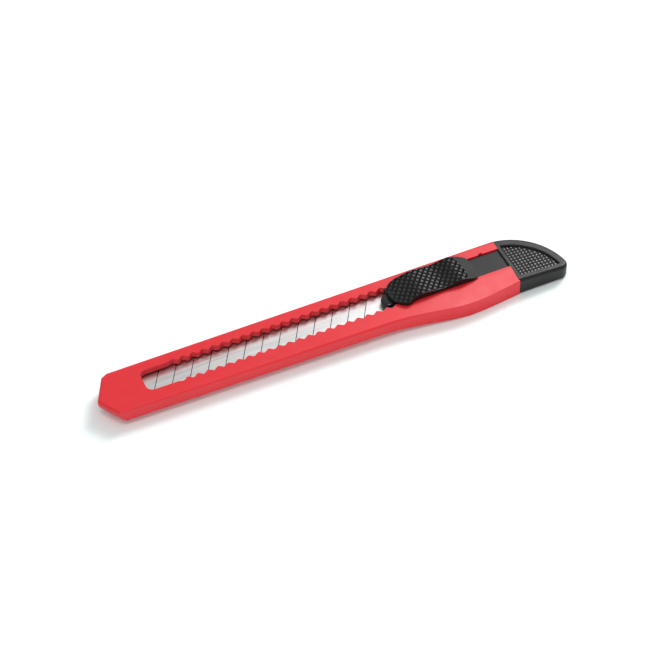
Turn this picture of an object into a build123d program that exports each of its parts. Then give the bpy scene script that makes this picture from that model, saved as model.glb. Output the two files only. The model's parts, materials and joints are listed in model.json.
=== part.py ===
"""A 9 mm snap-off hobby knife: moulded handle, sliding blade carrier with a thumb pad, scored blade, end cap.

Millimetres. X runs from the nose (-) to the end cap (+), Y = 0 is the blade's centre line, the cutting edge
faces -Y, Z is up and the knife lies on Z = 0.
"""

import os
from math import acos, asin, degrees, radians, sin, tan

from build123d import *

os.makedirs("parts", exist_ok=True)

# --- handle moulding
BODY_TOP = 5.5
FAR_WALL_Y = 7.05
NOSE_TIP = (-66.6, -1.4)
NOSE_FAR_CORNER = (-62.7, 6.15)
NOSE_FAR_SHOULDER = (-61.0, FAR_WALL_Y)
NOSE_NEAR_CORNER = (-62.7, -7.5)
FLARE_START = (12.0, -8.8)
FLARE_RISE = (24.4, -9.75)
FLARE_PEAK = (36.8, -11.0)
FLARE_FALL = (45.4, -10.3)
SEAM_X = 51.5
SEAM_NEAR_Y = -9.6
NOSE_TIP_RADIUS = 1.5
NOSE_NEAR_RADIUS = 0.8
NOSE_FAR_RADIUS = 0.5
TOP_EDGE_RADIUS = 0.8
NOSE_RAMP_RISE = 4.0      # ramp under the nose, below a thin rim
NOSE_RAMP_RUN = 2.4
NOSE_RAMP_HALF_LENGTH = 8.0
SHAFT_BEVEL = 2.0         # 45 degree bevel under the shaft
FLARE_BEVEL = 0.3         # what is left of it under the flare
FLARE_BEVEL_FADE = 0.6    # share of the flare's length over which it fades
FLARE_STATIONS = 10
FLARE_CROWN = ((9.0, 0.05), (24.0, 0.35), (37.0, 0.65), (52.5, 0.45))     # X and fall of the flare's top face
CROWN_START_Y = -4.6
CROWN_END_Y = -12.0
CROWN_BOW = 0.42
BEFORE_NOSE_X = -70.0

# --- blade slot and open channel
SLOT_FLOOR = 2.85
SLOT_ROOF = 3.75
SLOT_HALF_WIDTH = 4.75
WINDOW_FRONT_X = -53.3
WINDOW_FRONT_RADIUS = 1.9
LIP_HALF_GAP = 3.65
CLICK_PITCH = 2.85
CLICKS = 21
FIRST_VALLEY_X = -43.725
VALLEY_HALF_GAP = 4.05
CREST_HALF_GAP = 3.3
TOOTH_HALF_FLAT = 0.2
SNAP_X = 46.3
SNAP_NOTCH_DEPTH = 0.45
SNAP_NOTCH_HALF_LENGTH = 0.75
LAST_TOOTH_RUN = 0.4      # X over which the last tooth falls back to the plain lip

# --- blade
BLADE_HALF_WIDTH = 4.5
BLADE_BOTTOM = 2.90
BLADE_THICKNESS = 0.38
SEGMENT_PITCH = 5.0
SEGMENT_COUNT = 13
FIRST_SCORE_X = -50.0
SCORE_ANGLE = 59.0
SCORE_DEPTH = 0.10
GRIND_WIDTH = 1.1
EDGE_LAND = 0.04
BLADE_END_X = 25.0
PEG_X = 20.0
PEG_HOLE_RADIUS = 1.15
PEG_RADIUS = 1.05
SCORE_LEAN = 1 / tan(radians(SCORE_ANGLE))      # X that a score line gains for each millimetre of Y

# --- slider
CARRIER_FRONT_X = 16.9
CARRIER_REAR_X = 39.7
CARRIER_HALF_WIDTH = 3.0
CARRIER_TOP = 5.6
FLANGE_BOTTOM = 3.34
FLANGE_TOP = 3.68
FLANGE_HALF_WIDTH = 4.5
FLANGE_SETBACK = 1.6      # how far the flange starts behind the carrier's front
FLANGE_CORNER_RADIUS = 0.8
NUB_CENTRE = (17.1, -0.45)
NUB_RADIUS = 2.45
NUB_TOP = 5.2
NUB_EDGE_RADIUS = 0.7
SPRING_POCKET_REAR_X = 27.4
SPRING_POCKET_LENGTH = 12.0
SPRING_POCKET_Y = -2.45
SPRING_LEAF = 0.3
SPRING_LIFT = 0.12        # gap between the flange and the spring
SPRING_HEIGHT = 1.3
SPRING_ROOT_Y = -2.72
SPRING_ARM_Y = -2.85
SPRING_LOBE_Y = -3.6
SPRING_LOBE_HALF_LENGTH = 1.1
STUD_X = (23.0, 35.0)
STUD_RADIUS = 0.9
STUD_CLEARANCE = 0.05
STUD_HEIGHT = 0.7

# --- thumb pad
PAD_BOTTOM = 5.65
PAD_FRONT = (16.95, 0.8)
PAD_NEAR_LOBE = ((17.9, -3.4), (20.2, -5.15), (24.5, -4.35))
PAD_HEEL = ((40.2, -4.35), (41.5, -4.1), (42.4, -2.6), (42.4, 2.2), (41.5, 4.0), (39.6, 4.6))
PAD_FAR_BULGE = (32.0, 5.0)
PAD_FAR_LOBE = ((24.5, 4.6), (20.5, 4.3), (18.1, 3.3))
PAD_CROWN = ((16.0, 5.95), (19.5, 6.6), (22.0, 7.0), (24.5, 7.4), (28.0, 7.1), (32.0, 6.65), (34.5, 7.1),
             (36.6, 7.5), (37.6, 7.35))      # X and Z of the thumb face, up to the heel
HEEL_SLOPE_END = (43.0, 5.55)
HEEL_RIB_REAR_X = 42.2
HEEL_RIB_LENGTH = 2.5
HEEL_RIB_HALF_WIDTH = 2.8
HEEL_RIB_BOTTOM = 5.15

# --- end cap
CAP_CENTRE = (50.5, SEAM_NEAR_Y)      # centre of the elliptical rear outline
CAP_RADIUS_X = 16.5
CAP_REAR_TOP = 4.6
CAP_CORNER_RADIUS = 2.4
CAP_TOP_EDGE = 1.0
CAP_BASE_EDGE = 0.8
PANEL_MARGIN = 1.25                   # rim between the seam and the panel
PANEL_RADIUS_X = 14.0                 # the panel's outer edge is an ellipse about the same centre
PANEL_RADIUS_Y = 14.0
PANEL_NEAR_Y = -7.6
PANEL_DEPTH = 0.8
PANEL_EDGE = 0.3
TONGUE_FRONT_X = 40.2
TONGUE_HALF_WIDTH = 3.35
TONGUE_BOTTOM = 3.0
TONGUE_TOP = 5.0
TONGUE_CORNER_RADIUS = 0.5
TONGUE_FLANGE_FRONT_X = 43.0
TONGUE_FLANGE_HALF_WIDTH = 4.6
TONGUE_FLANGE_TOP = 3.65
SNAP_NUB_BOTTOM = 3.9
SNAP_NUB_TOP = 4.7
SNAP_NUB_HALF_LENGTH = 0.55
SNAP_NUB_ROOT = 0.1           # how far the nub is rooted in the tongue
SNAP_NUB_HEIGHT = 0.25        # 0.05 mm short of the plain lips

ALL_Z = 20.0                  # taller than the knife, for cuts that go right through


def finish(piece, label):
    """Name a finished piece and write it."""
    piece.part.label = label
    export_step(piece.part, f"parts/{label}.step")


# --- handle_body ------------------------------------------------------------------------------------------
flare = Spline(
    FLARE_START, FLARE_RISE, FLARE_PEAK, FLARE_FALL, (SEAM_X, SEAM_NEAR_Y), tangents=[(1, -0.012), (1, 0.12)],
)


def bevel_section(y_wall, leg):
    """Corners, in Y and Z, of a triangle that takes a 45 degree bevel off a wall's lower edge."""
    reach = 1.0
    return [(y_wall - reach, leg + reach), (y_wall + leg + reach, -reach), (y_wall - reach, -reach)]


def nose_ramp(start, end):
    """Prism under one side of the nose that leaves a ramp below its rim."""
    along = (Vector(*end) - Vector(*start)).normalized()
    outward = Vector(-along.Y, along.X)
    centre = (Vector(*start) + Vector(*end)) * 0.5
    plane = Plane(origin=centre, x_dir=outward, z_dir=along)
    up = 1 if plane.y_dir.Z > 0 else -1
    with BuildPart() as ramp:
        with BuildSketch(plane):
            with BuildLine():
                Polyline((0, up * NOSE_RAMP_RISE), (-NOSE_RAMP_RUN, 0), (-NOSE_RAMP_RUN, -up), (1, -up),
                         (1, up * NOSE_RAMP_RISE), close=True)
            make_face()
        extrude(amount=NOSE_RAMP_HALF_LENGTH, both=True)
    return ramp.part


shaft_slope = (FLARE_START[1] - NOSE_NEAR_CORNER[1]) / (FLARE_START[0] - NOSE_NEAR_CORNER[0])
shaft_front = (BEFORE_NOSE_X, FLARE_START[1] + shaft_slope * (BEFORE_NOSE_X - FLARE_START[0]))
with BuildPart() as near_bevel:
    with BuildSketch(Plane.YZ.offset(BEFORE_NOSE_X)):
        Polygon(*bevel_section(shaft_front[1], SHAFT_BEVEL), align=None)
    for station in range(FLARE_STATIONS + 1):
        share = station / FLARE_STATIONS
        point = flare @ share
        leg = FLARE_BEVEL + (SHAFT_BEVEL - FLARE_BEVEL) * max(0.0, 1 - share / FLARE_BEVEL_FADE)
        with BuildSketch(Plane.YZ.offset(point.X)):
            Polygon(*bevel_section(point.Y, leg), align=None)
    loft(ruled=True)

with BuildPart() as far_bevel:
    for x, leg in ((BEFORE_NOSE_X, SHAFT_BEVEL), (FLARE_START[0], SHAFT_BEVEL), (FLARE_PEAK[0], FLARE_BEVEL),
                   (SEAM_X + 1, FLARE_BEVEL)):
        with BuildSketch(Plane.YZ.offset(x)):
            Polygon(*[(-y, z) for y, z in bevel_section(-FAR_WALL_Y, leg)], align=None)
    loft(ruled=True)

with BuildPart() as flare_crown:
    for x, drop in FLARE_CROWN:
        with BuildSketch(Plane.YZ.offset(x)):
            with BuildLine():
                middle = ((CROWN_START_Y + CROWN_END_Y) / 2, BODY_TOP - CROWN_BOW * drop)
                arc = ThreePointArc((CROWN_START_Y, BODY_TOP), middle, (CROWN_END_Y, BODY_TOP - drop))
                Polyline(arc @ 1, (CROWN_END_Y, BODY_TOP + 1), (CROWN_START_Y, BODY_TOP + 1), arc @ 0)
            make_face()
    loft()

nose_ramps = [nose_ramp(NOSE_NEAR_CORNER, NOSE_TIP), nose_ramp(NOSE_TIP, NOSE_FAR_CORNER)]


def lip_points(has_notch):
    """Lip of the open channel from the window's front to the cap, with a tooth wave for the clicks."""
    points = [(FIRST_VALLEY_X - CLICK_PITCH / 2, LIP_HALF_GAP)]
    for click in range(CLICKS + 2):
        valley_x = FIRST_VALLEY_X + click * CLICK_PITCH
        crest_x = valley_x + CLICK_PITCH / 2
        points.append((valley_x - TOOTH_HALF_FLAT, VALLEY_HALF_GAP))
        points.append((valley_x + TOOTH_HALF_FLAT, VALLEY_HALF_GAP))
        points.append((crest_x - TOOTH_HALF_FLAT, CREST_HALF_GAP))
        points.append((crest_x + TOOTH_HALF_FLAT, CREST_HALF_GAP))
    notch_y = LIP_HALF_GAP + SNAP_NOTCH_DEPTH
    half = SNAP_NOTCH_HALF_LENGTH
    points.append((points[-1][0] + LAST_TOOTH_RUN, LIP_HALF_GAP))
    if has_notch:
        points.append((SNAP_X - half, LIP_HALF_GAP))
        points.append((SNAP_X - half / 2, notch_y))
        points.append((SNAP_X + half / 2, notch_y))
        points.append((SNAP_X + half, LIP_HALF_GAP))
    points.append((SEAM_X + 1, LIP_HALF_GAP))
    return points


with BuildPart() as handle_body:
    with BuildSketch() as outline:
        with BuildLine():
            Polyline((SEAM_X, SEAM_NEAR_Y), (SEAM_X, FAR_WALL_Y), NOSE_FAR_SHOULDER, NOSE_FAR_CORNER,
                     NOSE_TIP, NOSE_NEAR_CORNER, FLARE_START)
            add(flare)
        make_face()
        for corner, radius in ((NOSE_TIP, NOSE_TIP_RADIUS), (NOSE_NEAR_CORNER, NOSE_NEAR_RADIUS),
                               (NOSE_FAR_CORNER, NOSE_FAR_RADIUS)):
            fillet(outline.vertices().sort_by_distance((*corner, 0))[0], radius=radius)
    extrude(amount=BODY_TOP)
    top_edges = handle_body.faces().sort_by(Axis.Z)[-1].edges()
    long_edges = top_edges.filter_by(lambda e: e.length > 30)
    fillet(long_edges, radius=TOP_EDGE_RADIUS)
    add([near_bevel.part, far_bevel.part, flare_crown.part, *nose_ramps], mode=Mode.SUBTRACT)
    with BuildSketch(Plane.XY.offset(SLOT_FLOOR)):
        with Locations((NOSE_TIP[0] - 1, 0)):
            Rectangle(SEAM_X - NOSE_TIP[0] + 2, 2 * SLOT_HALF_WIDTH, align=(Align.MIN, Align.CENTER))
    extrude(amount=SLOT_ROOF - SLOT_FLOOR, mode=Mode.SUBTRACT)
    with BuildSketch(Plane.XY.offset(SLOT_FLOOR)) as window:
        with BuildLine():
            far_lip = [(WINDOW_FRONT_X, LIP_HALF_GAP), *lip_points(has_notch=True)]
            near_lip = [(WINDOW_FRONT_X, LIP_HALF_GAP), *lip_points(has_notch=False)]
            Polyline(*far_lip, *[(x, -y) for x, y in reversed(near_lip)], close=True)
        make_face()
        fillet(window.vertices().group_by(Axis.X)[0], radius=WINDOW_FRONT_RADIUS)
    extrude(amount=ALL_Z, mode=Mode.SUBTRACT)
finish(handle_body, "handle_body")


# --- blade: tip segment, snap-off segments and tang -------------------------------------------------------
def blade_piece(x_front, x_rear):
    """Stretch of scored strip between two slanted lines, given by their X on the centre line."""
    top = BLADE_BOTTOM + BLADE_THICKNESS
    middle = BLADE_BOTTOM + BLADE_THICKNESS / 2
    grind_y = -BLADE_HALF_WIDTH + GRIND_WIDTH
    shift = BLADE_HALF_WIDTH * SCORE_LEAN
    with BuildPart() as piece:
        with BuildSketch(Plane.YZ.offset(x_front - shift - 1)):
            Polygon(
                (-BLADE_HALF_WIDTH, middle - EDGE_LAND / 2), (grind_y, BLADE_BOTTOM),
                (BLADE_HALF_WIDTH, BLADE_BOTTOM), (BLADE_HALF_WIDTH, top),
                (grind_y, top), (-BLADE_HALF_WIDTH, middle + EDGE_LAND / 2),
                align=None,
            )
        extrude(amount=x_rear - x_front + 2 * shift + 2)
        with BuildSketch(Plane.XY):
            Polygon(
                (x_front - shift, -BLADE_HALF_WIDTH), (x_rear - shift, -BLADE_HALF_WIDTH),
                (x_rear + shift, BLADE_HALF_WIDTH), (x_front + shift, BLADE_HALF_WIDTH),
                align=None,
            )
        extrude(amount=ALL_Z, mode=Mode.INTERSECT)
        flat_top = piece.faces().filter_by(Axis.Z).sort_by(Axis.Z)[-1]
        chamfer(flat_top.edges().filter_by(lambda e: abs(e.tangent_at(0.5).X) < 0.9), length=SCORE_DEPTH)
    return piece


for number in range(1, SEGMENT_COUNT + 1):
    rear_line = FIRST_SCORE_X + (number - 1) * SEGMENT_PITCH
    segment = blade_piece(rear_line - SEGMENT_PITCH, rear_line)
    finish(segment, "blade_tip_segment" if number == 1 else f"blade_segment_{number:02d}")

last_line = FIRST_SCORE_X + (SEGMENT_COUNT - 1) * SEGMENT_PITCH
plain_end = blade_piece(last_line, BLADE_END_X)
with BuildPart() as blade_tang:
    add(plain_end.part)
    with Locations((PEG_X, 0, BLADE_BOTTOM + BLADE_THICKNESS)):
        Hole(radius=PEG_HOLE_RADIUS, depth=2 * BLADE_THICKNESS)
finish(blade_tang, "blade_tang")

# --- blade_carrier: runner between the lips, with the nub, the flange under the lips and the blade peg ----
with BuildPart() as blade_carrier:
    with BuildSketch(Plane.XY.offset(FLANGE_BOTTOM)):
        with Locations((CARRIER_FRONT_X, 0)):
            Rectangle(CARRIER_REAR_X - CARRIER_FRONT_X, 2 * CARRIER_HALF_WIDTH,
                      align=(Align.MIN, Align.CENTER))
    extrude(amount=CARRIER_TOP - FLANGE_BOTTOM)
    with BuildSketch(Plane.XY.offset(FLANGE_BOTTOM)):
        with Locations(NUB_CENTRE):
            Circle(NUB_RADIUS)
    extrude(amount=NUB_TOP - FLANGE_BOTTOM)
    nub_rim = blade_carrier.edges().filter_by(GeomType.CIRCLE).sort_by(Axis.Z)[-1]
    fillet(nub_rim, radius=NUB_EDGE_RADIUS)
    with BuildSketch(Plane.XY.offset(FLANGE_BOTTOM)):
        with Locations((SPRING_POCKET_REAR_X, SPRING_POCKET_Y)):
            Rectangle(SPRING_POCKET_LENGTH, ALL_Z, align=(Align.MAX, Align.MAX))
    extrude(amount=CARRIER_TOP - FLANGE_BOTTOM, mode=Mode.SUBTRACT)
    with BuildSketch(Plane.XY.offset(FLANGE_BOTTOM)):
        with Locations((CARRIER_REAR_X, 0)):
            RectangleRounded(CARRIER_REAR_X - CARRIER_FRONT_X - FLANGE_SETBACK, 2 * FLANGE_HALF_WIDTH,
                             radius=FLANGE_CORNER_RADIUS, align=(Align.MAX, Align.CENTER))
    extrude(amount=FLANGE_TOP - FLANGE_BOTTOM)
    with BuildSketch(Plane.XY.offset(FLANGE_BOTTOM)):
        with Locations((PEG_X, 0)):
            Circle(PEG_RADIUS)
    extrude(amount=-BLADE_THICKNESS)
    with BuildSketch(Plane.XY.offset(CARRIER_TOP)):
        with Locations(*[(x, 0) for x in STUD_X]):
            Circle(STUD_RADIUS)
    extrude(amount=STUD_HEIGHT)
finish(blade_carrier, "blade_carrier")

# --- detent_spring: bowed leaf whose lobe sits in a valley of the near lip --------------------------------
rest_valley_x = FIRST_VALLEY_X + CLICKS * CLICK_PITCH
with BuildPart() as detent_spring:
    with BuildSketch(Plane.XY.offset(FLANGE_TOP + SPRING_LIFT)):
        with BuildLine():
            lobe_rear = (rest_valley_x + SPRING_LOBE_HALF_LENGTH, SPRING_ARM_Y)
            lobe_front = (rest_valley_x - SPRING_LOBE_HALF_LENGTH, SPRING_ARM_Y)
            Line((SPRING_POCKET_REAR_X - SPRING_LEAF, SPRING_ROOT_Y), lobe_rear)
            ThreePointArc(lobe_rear, (rest_valley_x, SPRING_LOBE_Y), lobe_front)
        trace(line_width=SPRING_LEAF)
    extrude(amount=SPRING_HEIGHT)
finish(detent_spring, "detent_spring")

# --- thumb_pad: hollowed button with a sloping heel -------------------------------------------------------
with BuildPart() as thumb_pad:
    with BuildSketch(Plane.XY.offset(PAD_BOTTOM)):
        with BuildLine():
            front_down = (-0.2, -1)
            near_lobe = Spline(PAD_FRONT, *PAD_NEAR_LOBE, tangents=[front_down, (1, 0)])
            heel = Polyline(near_lobe @ 1, *PAD_HEEL)
            bulge = ThreePointArc(heel @ 1, PAD_FAR_BULGE, PAD_FAR_LOBE[0])
            Spline(*PAD_FAR_LOBE, PAD_FRONT, tangents=[bulge % 1, front_down])
        make_face()
    extrude(amount=ALL_Z / 2)
    with BuildSketch(Plane.XZ):
        with BuildLine():
            crown = Spline(*PAD_CROWN)
            Polyline(crown @ 1, HEEL_SLOPE_END, (HEEL_SLOPE_END[0], ALL_Z), (PAD_CROWN[0][0], ALL_Z), crown @ 0)
        make_face()
    extrude(amount=ALL_Z, both=True, mode=Mode.SUBTRACT)
    with BuildSketch(Plane.XY.offset(HEEL_RIB_BOTTOM)):
        with Locations((HEEL_RIB_REAR_X, 0)):
            Rectangle(HEEL_RIB_LENGTH, 2 * HEEL_RIB_HALF_WIDTH, align=(Align.MAX, Align.CENTER))
    extrude(amount=PAD_BOTTOM - HEEL_RIB_BOTTOM)
    with BuildSketch(Plane.XY.offset(PAD_BOTTOM)):
        with Locations(*[(x, 0) for x in STUD_X]):
            Circle(STUD_RADIUS + STUD_CLEARANCE)
    extrude(amount=STUD_HEIGHT + STUD_CLEARANCE, mode=Mode.SUBTRACT)
finish(thumb_pad, "thumb_pad")

# --- end_cap: cap block with its panel, tongue and snap nub -----------------------------------------------
seam_angle = acos((SEAM_X - CAP_CENTRE[0]) / CAP_RADIUS_X)
cap_radius_y = (FAR_WALL_Y - CAP_CENTRE[1]) / sin(seam_angle)
cap_end_x = CAP_CENTRE[0] + CAP_RADIUS_X
cap_top = Plane(
    origin=(SEAM_X, 0, BODY_TOP),
    x_dir=(cap_end_x - SEAM_X, 0, CAP_REAR_TOP - BODY_TOP),
    z_dir=(BODY_TOP - CAP_REAR_TOP, 0, cap_end_x - SEAM_X),
)
with BuildPart() as end_cap:
    with BuildSketch() as cap_plan:
        with BuildLine():
            rear = EllipticalCenterArc(CAP_CENTRE, CAP_RADIUS_X, cap_radius_y, arc_size=degrees(seam_angle))
            Polyline(rear @ 1, (SEAM_X, SEAM_NEAR_Y), rear @ 0)
        make_face()
        near_rear_corner = cap_plan.vertices().sort_by_distance((cap_end_x, SEAM_NEAR_Y, 0))[0]
        fillet(near_rear_corner, radius=CAP_CORNER_RADIUS)
    extrude(amount=ALL_Z / 2)
    split(bisect_by=cap_top, keep=Keep.BOTTOM)
    top_face = end_cap.faces().sort_by(Axis.Z)[-1]
    rim = top_face.edges().filter_by(lambda e: e.center().X > SEAM_X + 0.1)
    foot = end_cap.faces().sort_by(Axis.Z)[0].edges().filter_by(lambda e: e.center().X > SEAM_X + 0.1)
    fillet(rim, radius=CAP_TOP_EDGE)
    fillet(foot, radius=CAP_BASE_EDGE)
    with BuildSketch(cap_top):
        centre = (CAP_CENTRE[0] - SEAM_X, CAP_CENTRE[1])
        near_angle = asin((PANEL_NEAR_Y - CAP_CENTRE[1]) / PANEL_RADIUS_Y)
        far_angle = acos((SEAM_X + PANEL_MARGIN - CAP_CENTRE[0]) / PANEL_RADIUS_X)
        with BuildLine():
            outer = EllipticalCenterArc(centre, PANEL_RADIUS_X, PANEL_RADIUS_Y, degrees(near_angle),
                                        arc_size=degrees(far_angle - near_angle))
            Polyline(outer @ 1, (PANEL_MARGIN, PANEL_NEAR_Y), outer @ 0)
        make_face()
    extrude(amount=-PANEL_DEPTH, mode=Mode.SUBTRACT)
    recess_rim = end_cap.faces().sort_by(Axis.Z)[-1].inner_wires()[0].edges()
    chamfer(recess_rim, length=PANEL_EDGE)
    with BuildSketch(Plane.XY.offset(TONGUE_BOTTOM)):
        with Locations((TONGUE_FRONT_X, 0)):
            RectangleRounded(SEAM_X + 1 - TONGUE_FRONT_X, 2 * TONGUE_HALF_WIDTH, radius=TONGUE_CORNER_RADIUS,
                             align=(Align.MIN, Align.CENTER))
    extrude(amount=TONGUE_TOP - TONGUE_BOTTOM)
    with BuildSketch(Plane.XY.offset(TONGUE_BOTTOM)):
        with Locations((TONGUE_FLANGE_FRONT_X, 0)):
            RectangleRounded(SEAM_X + 1 - TONGUE_FLANGE_FRONT_X, 2 * TONGUE_FLANGE_HALF_WIDTH,
                             radius=TONGUE_CORNER_RADIUS, align=(Align.MIN, Align.CENTER))
    extrude(amount=TONGUE_FLANGE_TOP - TONGUE_BOTTOM)
    with BuildSketch(Plane.XY.offset(SNAP_NUB_BOTTOM)):
        with BuildLine():
            root_y = TONGUE_HALF_WIDTH - SNAP_NUB_ROOT
            root = Line((SNAP_X - SNAP_NUB_HALF_LENGTH, root_y), (SNAP_X + SNAP_NUB_HALF_LENGTH, root_y))
            ThreePointArc(root @ 0, (SNAP_X, TONGUE_HALF_WIDTH + SNAP_NUB_HEIGHT), root @ 1)
        make_face()
    extrude(amount=SNAP_NUB_TOP - SNAP_NUB_BOTTOM)
finish(end_cap, "end_cap")
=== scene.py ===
"""Looks of the snap-off hobby knife: camera, light, materials, and the knurled pieces on the CAD frame."""

import json
from math import acos, asin, cos, radians, sin

import bmesh
import bpy
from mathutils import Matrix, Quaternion, Vector
from mathutils.bvhtree import BVHTree


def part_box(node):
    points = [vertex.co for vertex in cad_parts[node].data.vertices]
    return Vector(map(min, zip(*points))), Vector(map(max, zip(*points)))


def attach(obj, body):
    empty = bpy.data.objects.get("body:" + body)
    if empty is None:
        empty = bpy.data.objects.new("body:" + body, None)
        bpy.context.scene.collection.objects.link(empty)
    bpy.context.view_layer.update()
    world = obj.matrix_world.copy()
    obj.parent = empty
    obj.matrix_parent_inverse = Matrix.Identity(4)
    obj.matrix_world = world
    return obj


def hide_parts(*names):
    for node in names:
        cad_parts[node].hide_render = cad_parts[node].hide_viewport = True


MM = 0.001
DOWN = Vector((0, 0, -1))

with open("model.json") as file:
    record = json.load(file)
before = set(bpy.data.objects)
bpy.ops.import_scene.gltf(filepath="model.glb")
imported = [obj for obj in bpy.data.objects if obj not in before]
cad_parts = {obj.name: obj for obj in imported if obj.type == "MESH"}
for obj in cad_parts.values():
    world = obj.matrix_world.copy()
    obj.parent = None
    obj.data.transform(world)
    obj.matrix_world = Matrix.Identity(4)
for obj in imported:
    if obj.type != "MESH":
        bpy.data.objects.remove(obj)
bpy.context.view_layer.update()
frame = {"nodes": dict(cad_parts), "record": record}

# --- camera -----------------------------------------------------------------------------------------------
CAMERA_AZIMUTH = radians(-24.0)
CAMERA_ELEVATION = radians(47.51)
CAMERA_ROLL = radians(-0.965)
CAMERA_DISTANCE = 0.600
CAMERA_TARGET = Vector((-0.35, 0.03, 0.49)) * MM
CAMERA_LENS = 123.0
CAMERA_CLIP_START = 0.01
CAMERA_CLIP_END = 20.0


def add_camera():
    """Long lens at the photograph's viewing angle."""
    data = bpy.data.cameras.new("camera")
    data.lens = CAMERA_LENS
    data.clip_start = CAMERA_CLIP_START
    data.clip_end = CAMERA_CLIP_END
    camera = bpy.data.objects.new("camera", data)
    bpy.context.scene.collection.objects.link(camera)
    back = Vector((0, -1, 0))
    back.rotate(Quaternion((1, 0, 0), -CAMERA_ELEVATION))
    back.rotate(Quaternion((0, 0, 1), CAMERA_AZIMUTH))
    camera.location = CAMERA_TARGET + back * CAMERA_DISTANCE
    camera.rotation_mode = "QUATERNION"
    camera.rotation_quaternion = (-back).to_track_quat("-Z", "Y") @ Quaternion((0, 0, 1), CAMERA_ROLL)
    bpy.context.scene.camera = camera


# --- stage ------------------------------------------------------------------------------------------------
FLOOR_HALF_SIZE = 4.0
FLOOR_LEVEL = -0.02 * MM              # just under the knife, so that the two faces don't coincide
FLOOR_COLOUR = (0.87, 0.94, 0.94, 1)
FLOOR_ROUGHNESS = 0.9
WORLD_STRENGTH = 0.54
SOFTBOXES = (                         # name, direction, distance, size, watts
    ("overhead_softbox", (-0.22, -0.22, 1.0), 1.2, (0.40, 0.40), 3.0),
    ("rear_card", (0.45, 0.34, 0.64), 0.60, (0.20, 0.26), 1.2),
    ("right_key", (0.85, 0.42, 0.75), 1.2, (0.40, 0.40), 6.4),
    ("front_fill", (-0.35, -1.0, 0.20), 1.4, (1.2, 0.5), 5.5),
)


def new_material(name):
    """A material with its nodes cleared down to the shader, as (material, nodes, links, shader)."""
    material = bpy.data.materials.new(name)
    material.use_nodes = True
    nodes = material.node_tree.nodes
    return material, nodes, material.node_tree.links, nodes["Principled BSDF"]


def add_floor():
    """Plain pale table top, far larger than the view."""
    half = FLOOR_HALF_SIZE
    mesh = bpy.data.meshes.new("floor")
    corners = [(x, y, FLOOR_LEVEL) for x, y in ((-half, -half), (half, -half), (half, half), (-half, half))]
    mesh.from_pydata(corners, [], [(0, 1, 2, 3)])
    floor = bpy.data.objects.new("floor", mesh)
    bpy.context.scene.collection.objects.link(floor)
    material, _, _, shader = new_material("floor_paper")
    shader.inputs["Base Color"].default_value = FLOOR_COLOUR
    shader.inputs["Roughness"].default_value = FLOOR_ROUGHNESS
    shader.inputs["Specular IOR Level"].default_value = 0.0
    mesh.materials.append(material)


def add_softbox(name, direction, distance, size, watts):
    """Rectangular area light that faces the object."""
    data = bpy.data.lights.new(name, "AREA")
    data.shape = "RECTANGLE"
    data.size, data.size_y = size
    data.energy = watts
    light = bpy.data.objects.new(name, data)
    bpy.context.scene.collection.objects.link(light)
    towards = Vector(direction).normalized()
    light.location = towards * distance
    light.rotation_mode = "QUATERNION"
    light.rotation_quaternion = towards.to_track_quat("Z", "Y")


def add_light():
    """Soft studio light: white surround, overhead softbox, rear card, key from the right, front fill."""
    world = bpy.data.worlds.new("studio")
    world.use_nodes = True
    background = world.node_tree.nodes["Background"]
    background.inputs["Color"].default_value = (1, 1, 1, 1)
    background.inputs["Strength"].default_value = WORLD_STRENGTH
    bpy.context.scene.world = world
    for softbox in SOFTBOXES:
        add_softbox(*softbox)
    bpy.context.scene.view_settings.view_transform = "Standard"


# --- materials --------------------------------------------------------------------------------------------
FLOW = (90.0, 2.0, (0.25, 1, 1))      # noises: cells per metre, detail, stretch
GLOSS = (350.0, 4.0)
SCUFFS = (1500.0, 5.0, (0.06, 1, 1))
STEEL_LINES = (2500.0, 4.0, (0.03, 1, 1))
GRAIN_DETAIL = 2.0
SCUFF_STRENGTH = 0.25
STEEL_LINE_STRENGTH = 0.25
FINE_DEPTH_MM = 0.002                 # depth of scuffs and of grinding lines
GRAIN_STRENGTH = 1.0
GROOVE_SHADE_NORMAL_Z = (0.80, 0.92)        # painted shade in the score lines: full on faces whose normal Z is below the first, none above the second


def noise(nodes, links, scale, detail, stretch=(1, 1, 1)):
    """Noise texture in the object's own coordinates, stretched along an axis if asked; returns its output."""
    place = nodes.new("ShaderNodeTexCoord")
    mapping = nodes.new("ShaderNodeMapping")
    mapping.inputs["Scale"].default_value = stretch
    texture = nodes.new("ShaderNodeTexNoise")
    texture.inputs["Scale"].default_value = scale
    texture.inputs["Detail"].default_value = detail
    links.new(place.outputs["Object"], mapping.inputs["Vector"])
    links.new(mapping.outputs["Vector"], texture.inputs["Vector"])
    return texture.outputs["Fac"]


def ramp(nodes, links, source, stops):
    """Colour ramp over a texture output; stops are (position, colour)."""
    node = nodes.new("ShaderNodeValToRGB")
    links.new(source, node.inputs["Fac"])
    elements = node.color_ramp.elements
    while len(elements) < len(stops):
        elements.new(0.5)
    for element, (position, colour) in zip(elements, stops):
        element.position = position
        element.color = (*colour, 1)
    return node.outputs["Color"]


def bump(nodes, links, shader, source, strength, depth_mm):
    """Bump from a texture, chained onto any bump that the shader already has."""
    node = nodes.new("ShaderNodeBump")
    node.inputs["Strength"].default_value = strength
    node.inputs["Distance"].default_value = depth_mm * MM
    links.new(source, node.inputs["Height"])
    normal = shader.inputs["Normal"]
    if normal.is_linked:
        links.new(normal.links[0].from_socket, node.inputs["Normal"])
    links.new(node.outputs["Normal"], normal)


def grey(value):
    """Neutral colour of the given brightness."""
    return (value, value, value)


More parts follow.
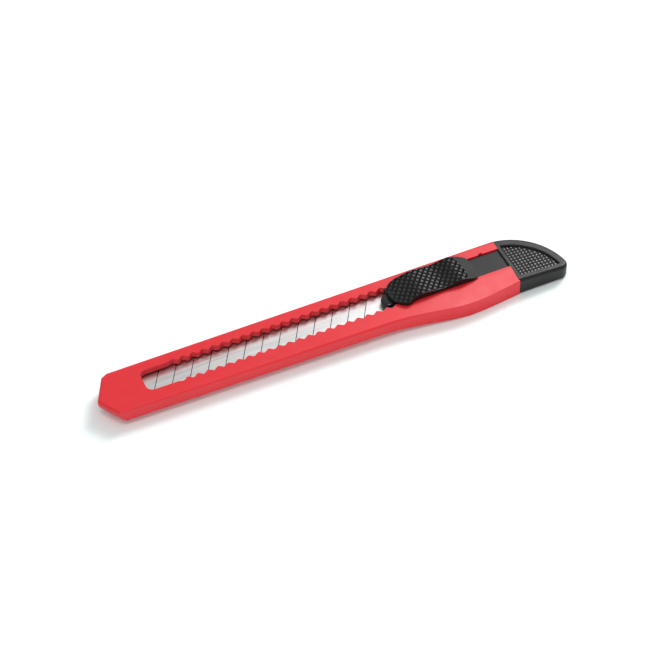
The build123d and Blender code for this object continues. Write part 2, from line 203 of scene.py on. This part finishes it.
def moulded_plastic(name, dark, light, roughness, specular, grain_mm, grain_depth_mm):
    """Injection-moulded plastic: slight flow mottle, uneven gloss, fine mould grain and handling scuffs."""
    material, nodes, links, shader = new_material(name)
    flow = noise(nodes, links, *FLOW)
    links.new(ramp(nodes, links, flow, [(0.3, dark), (0.7, light)]), shader.inputs["Base Color"])
    gloss = noise(nodes, links, *GLOSS)
    low, high = roughness
    links.new(ramp(nodes, links, gloss, [(0.35, grey(low)), (0.7, grey(high))]), shader.inputs["Roughness"])
    shader.inputs["Specular IOR Level"].default_value = specular
    grain = noise(nodes, links, 1 / (grain_mm * MM), GRAIN_DETAIL)
    bump(nodes, links, shader, grain, GRAIN_STRENGTH, grain_depth_mm)
    scuffs = noise(nodes, links, *SCUFFS)
    bump(nodes, links, shader, scuffs, SCUFF_STRENGTH, FINE_DEPTH_MM)
    return material


def brushed_steel(name, dark, light, roughness, painted_groove_shade):
    """Ground strip steel: fine lines along the strip, and painted shade (a dark colour) on the sloping faces
    of the struck score lines.
    """
    material, nodes, links, shader = new_material(name)
    shader.inputs["Metallic"].default_value = 1.0
    lines = noise(nodes, links, *STEEL_LINES)
    colour = ramp(nodes, links, lines, [(0.3, dark), (0.7, light)])
    # painted shade: the sloping faces of the score lines take the dark colour, standing in for the shade
    # inside them
    if painted_groove_shade:
        place = nodes.new("ShaderNodeTexCoord")
        split = nodes.new("ShaderNodeSeparateXYZ")
        links.new(place.outputs["Normal"], split.inputs["Vector"])
        slope_end, flat_start = GROOVE_SHADE_NORMAL_Z
        painted_shade_mask = ramp(nodes, links, split.outputs["Z"], [(slope_end, grey(1.0)), (flat_start, grey(0.0))])
        mix = nodes.new("ShaderNodeMixRGB")
        links.new(painted_shade_mask, mix.inputs["Fac"])
        links.new(colour, mix.inputs["Color1"])
        mix.inputs["Color2"].default_value = (*painted_groove_shade, 1)
        colour = mix.outputs["Color"]
    links.new(colour, shader.inputs["Base Color"])
    low, high = roughness
    links.new(ramp(nodes, links, lines, [(0.3, grey(low)), (0.75, grey(high))]), shader.inputs["Roughness"])
    bump(nodes, links, shader, lines, STEEL_LINE_STRENGTH, FINE_DEPTH_MM)
    return material


PLASTICS = (                          # name, dark, light, roughness range, specular, grain size, depth (mm)
    ("red_plastic", (0.605, 0.014, 0.022), (0.65, 0.019, 0.028), (0.33, 0.42), 0.42, 0.12, 0.004),
    ("black_pad_plastic", grey(0.004), grey(0.006), (0.30, 0.40), 0.24, 0.08, 0.003),
    ("black_cap_plastic", grey(0.005), grey(0.009), (0.34, 0.45), 0.28, 0.08, 0.004),
    ("pad_knurl_plastic", grey(0.007), grey(0.011), (0.34, 0.44), 0.50, 0.08, 0.002),
    ("cap_panel_plastic", grey(0.005), grey(0.009), (0.22, 0.32), 0.75, 0.08, 0.003),
    ("black_gloss_plastic", grey(0.006), grey(0.010), (0.14, 0.22), 0.50, 0.15, 0.002),
)
STEELS = (                            # name, dark, light, roughness range, painted shade colour for the score lines
    ("blackened_spring_steel", grey(0.05), grey(0.09), (0.30, 0.42), None),
    # grey(0.06) at the end is painted shade in the blade's score lines
    ("blade_steel", (0.63, 0.63, 0.63), (0.72, 0.72, 0.715), (0.30, 0.40), grey(0.06)),
)


def make_materials():
    """One material for each slot of the record, and one for each of the two textured faces."""
    plastics = {look[0]: moulded_plastic(*look) for look in PLASTICS}
    steels = {look[0]: brushed_steel(*look) for look in STEELS}
    return {**plastics, **steels}


def dress_cad(materials):
    """Give each CAD node its finished material."""
    slots = {entry["node"]: entry["material_slot"] for entry in frame["record"]["subparts"]}
    for name, node in frame["nodes"].items():
        node.data.materials.clear()
        node.data.materials.append(materials[slots[name]])


# --- knurled pieces (in millimetres) ----------------------------------------------------------------------
SHARP_ANGLE = 20                      # edges sharper than this many degrees are rounded
RAY_START_Z = 20.0                    # above the whole knife
LOOP_STEPS = 8


def solid(name, points, faces):
    """Object from points in millimetres, with its faces turned outwards."""
    mesh = bpy.data.meshes.new(name)
    mesh.from_pydata([Vector(point) * MM for point in points], [], faces)
    shape = bmesh.new()
    shape.from_mesh(mesh)
    bmesh.ops.recalc_face_normals(shape, faces=shape.faces)
    shape.to_mesh(mesh)
    shape.free()
    piece = bpy.data.objects.new(name, mesh)
    bpy.context.scene.collection.objects.link(piece)
    return piece


def prism(name, outline, bottom, top):
    """Straight-sided solid over an outline of (x, y) points."""
    count = len(outline)
    points = [(x, y, bottom) for x, y in outline] + [(x, y, top) for x, y in outline]
    sides = [(i, (i + 1) % count, count + (i + 1) % count, count + i) for i in range(count)]
    return solid(name, points, [tuple(range(count)), tuple(range(count, 2 * count)), *sides])


def smooth_loop(points):
    """Closed Catmull-Rom curve through the points."""
    loop = []
    count = len(points)
    for i in range(count):
        before, start, end, after = (Vector(points[(i + k) % count]) for k in (-1, 0, 1, 2))
        for step in range(LOOP_STEPS):
            t = step / LOOP_STEPS
            linear = (end - before) * t
            square = (2 * before - 5 * start + 4 * end - after) * t**2
            cube = (3 * (start - end) + after - before) * t**3
            loop.append(0.5 * (2 * start + linear + square + cube))
    return [tuple(point) for point in loop]


def height_at(tree, x, y):
    """Height of a surface straight under or over (x, y)."""
    return tree.ray_cast(Vector((x, y, RAY_START_Z)) * MM, DOWN)[0].z / MM


def pyramid_slab(name, lattice, cells, tip, valley, flat, back):
    """Slab with one face of blunt pyramids.

    lattice is (a tip's place, side of a cell, turn in degrees), and cells the first and last lattice step
    along it and across it. tip(x) and valley(x) give the two heights, flat is the share of a cell's side
    left blunt at its tip, and back is the height of the plain face.
    """
    (start_x, start_y), side, turn = lattice
    along = Vector((cos(radians(turn)), sin(radians(turn)))) * side
    across = Vector((-along.y, along.x))
    first_i, last_i, first_j, last_j = cells
    points = []
    index = {}

    def place(i, j, height):
        """Number of the point at lattice place (i, j); height picks its level."""
        key = (round(i, 4), round(j, 4), height == back)
        if key not in index:
            index[key] = len(points)
            spot = Vector((start_x, start_y)) + along * i + across * j
            points.append((spot.x, spot.y, back if height == back else height(spot.x)))
        return index[key]

    faces = []
    corners = ((-0.5, -0.5), (0.5, -0.5), (0.5, 0.5), (-0.5, 0.5))
    for i in range(first_i, last_i + 1):
        for j in range(first_j, last_j + 1):
            foot = [place(i + a, j + b, valley) for a, b in corners]
            top = [place(i + a * flat, j + b * flat, tip) for a, b in corners]
            faces.append(tuple(top))
            faces += [(foot[k], foot[(k + 1) % 4], top[(k + 1) % 4], top[k]) for k in range(4)]
            faces.append(tuple(place(i + a, j + b, back) for a, b in reversed(corners)))
    edge = [(first_i - 0.5, j - 0.5, first_i - 0.5, j + 0.5) for j in range(first_j, last_j + 1)]
    edge += [(last_i + 0.5, j - 0.5, last_i + 0.5, j + 0.5) for j in range(first_j, last_j + 1)]
    edge += [(i - 0.5, first_j - 0.5, i + 0.5, first_j - 0.5) for i in range(first_i, last_i + 1)]
    edge += [(i - 0.5, last_j + 0.5, i + 0.5, last_j + 0.5) for i in range(first_i, last_i + 1)]
    for a, b, c, d in edge:
        faces.append((place(a, b, valley), place(c, d, valley), place(c, d, back), place(a, b, back)))
    return solid(name, points, faces)


def combine(piece, tool, operation, material_mode="INDEX"):
    """Boolean of piece with tool, made real; the tool is thrown away.

    material_mode TRANSFER keeps the tool's own material on the faces that it cuts.
    """
    modifier = piece.modifiers.new(operation.lower(), "BOOLEAN")
    modifier.operation = operation
    modifier.solver = "EXACT"
    modifier.material_mode = material_mode
    modifier.object = tool
    bake(piece)
    bpy.data.objects.remove(tool)


def bake(piece):
    """Make a piece's modifiers real."""
    bpy.context.view_layer.update()
    result = bpy.data.meshes.new_from_object(piece.evaluated_get(bpy.context.evaluated_depsgraph_get()))
    piece.modifiers.clear()
    piece.data = result


def soften_edges(piece, width_mm):
    """Round the sharp edges, as a mould leaves them; the flats keep their own shading."""
    bevel = piece.modifiers.new("soft_edges", "BEVEL")
    bevel.width = width_mm * MM
    bevel.segments = 2
    bevel.limit_method = "ANGLE"
    bevel.angle_limit = radians(SHARP_ANGLE)
    bevel.harden_normals = True


PAD_LATTICE = ((24.67, 3.55), 1.30, -40.0)
PAD_CELLS = (-20, 20, -20, 20)
PAD_TEXTURE = [
    (17.15, 0.8), (17.35, -1.5), (18.1, -3.5), (20.3, -4.98), (24.5, -4.2), (31.0, -4.2), (37.0, -4.2),
    (38.5, -3.6), (39.0, -2.6), (39.1, -0.9), (38.9, 0.9), (38.5, 3.0), (37.6, 4.45), (32.0, 4.85),
    (24.5, 4.45), (20.6, 4.15), (18.3, 3.15),
]
PAD_TEXTURE_Z = (4.0, 11.0)
PAD_CUTTER_BACK = 12.0
PAD_KNURL_DEPTH = 0.5
PAD_KNURL_FLAT = 0.5
PAD_TIP_SINK = 0.02                   # the tips lie this far under the plain crown
PAD_BASE_ABOVE_FOOT = 0.5             # height of the pad's base plate over the node's lowest point
PAD_LEAST_WEB = 0.25                  # plastic left under the valleys
PAD_END_MARGIN = 0.1
PAD_MIDDLE_Y = 0.5
PAD_EDGE = 0.04


def add_thumb_pad(materials):
    """The pad with its knurl cut into the hollowed thumb face."""
    blank = frame["nodes"]["thumb_pad"]
    low, high = (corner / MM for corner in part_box("thumb_pad"))
    tree = BVHTree.FromObject(blank, bpy.context.evaluated_depsgraph_get())
    lowest_valley = low.z + PAD_BASE_ABOVE_FOOT + PAD_LEAST_WEB

    def crown(x):
        return height_at(tree, min(max(x, low.x + PAD_END_MARGIN), high.x - PAD_END_MARGIN), PAD_MIDDLE_Y)

    def tip(x):
        return crown(x) - PAD_TIP_SINK

    def valley(x):
        return max(crown(x) - PAD_KNURL_DEPTH, lowest_valley)

    cutter = pyramid_slab("pad_cutter", PAD_LATTICE, PAD_CELLS, tip, valley, PAD_KNURL_FLAT, PAD_CUTTER_BACK)
    cutter.data.materials.append(materials["pad_knurl_plastic"])
    combine(cutter, prism("pad_texture", smooth_loop(PAD_TEXTURE), *PAD_TEXTURE_Z), "INTERSECT")
    piece = bpy.data.objects.new("knurled_thumb_pad", blank.data.copy())
    bpy.context.scene.collection.objects.link(piece)
    combine(piece, cutter, "DIFFERENCE", "TRANSFER")
    return piece


PANEL_LATTICE = ((53.35, -7.1), 1.03, 0.0)
PANEL_CELLS = (-2, 14, -2, 14)
PANEL_RISE = 0.22
PANEL_FLAT = 0.45
PANEL_BACK = 2.5
PANEL_CUT_Z = (3.0, 8.0)
PANEL_GROW = 0.08                     # how far the field runs into the recess's wall
PANEL_CENTRE = (50.5, -9.6)
PANEL_RADIUS = 14.0
PANEL_FRONT_X = 52.75
PANEL_NEAR_Y = -7.6
PANEL_ARC_STEPS = 24
PANEL_RAY_Y = -5.0                    # the floor's height is read on this line, between these two places
PANEL_RAY_FRONT_X = 54.0
PANEL_RAY_REAR_X = 60.0
PANEL_EDGE = 0.03


def add_cap_panel():
    """Field of blunt pyramids on the floor of the cap's recess."""
    tree = BVHTree.FromObject(frame["nodes"]["end_cap"], bpy.context.evaluated_depsgraph_get())
    front_height = height_at(tree, PANEL_RAY_FRONT_X, PANEL_RAY_Y)
    rear_height = height_at(tree, PANEL_RAY_REAR_X, PANEL_RAY_Y)
    slope = (rear_height - front_height) / (PANEL_RAY_REAR_X - PANEL_RAY_FRONT_X)

    def valley(x):
        return front_height + slope * (x - PANEL_RAY_FRONT_X)

    def tip(x):
        return valley(x) + PANEL_RISE

    field = pyramid_slab("pyramid_panel", PANEL_LATTICE, PANEL_CELLS, tip, valley, PANEL_FLAT, PANEL_BACK)
    centre_x, centre_y = PANEL_CENTRE
    radius = PANEL_RADIUS + PANEL_GROW
    front_x = PANEL_FRONT_X - PANEL_GROW
    near_y = PANEL_NEAR_Y - PANEL_GROW
    start = asin((near_y - centre_y) / radius)
    end = acos((front_x - centre_x) / radius)
    outline = [(front_x, near_y)]
    for step in range(PANEL_ARC_STEPS + 1):
        angle = start + (end - start) * step / PANEL_ARC_STEPS
        outline.append((centre_x + radius * cos(angle), centre_y + radius * sin(angle)))
    combine(field, prism("panel_outline", outline, *PANEL_CUT_Z), "INTERSECT")
    return field


def add_pieces(materials):
    """Pieces that carry the textures the CAD leaves plain."""
    pad = add_thumb_pad(materials)
    soften_edges(pad, PAD_EDGE)
    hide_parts("thumb_pad")
    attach(pad, "slider")
    panel = add_cap_panel()
    panel.data.materials.append(materials["cap_panel_plastic"])
    soften_edges(panel, PANEL_EDGE)
    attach(panel, "cap")


add_camera()
add_floor()
add_light()
slot_materials = make_materials()
dress_cad(slot_materials)
add_pieces(slot_materials)
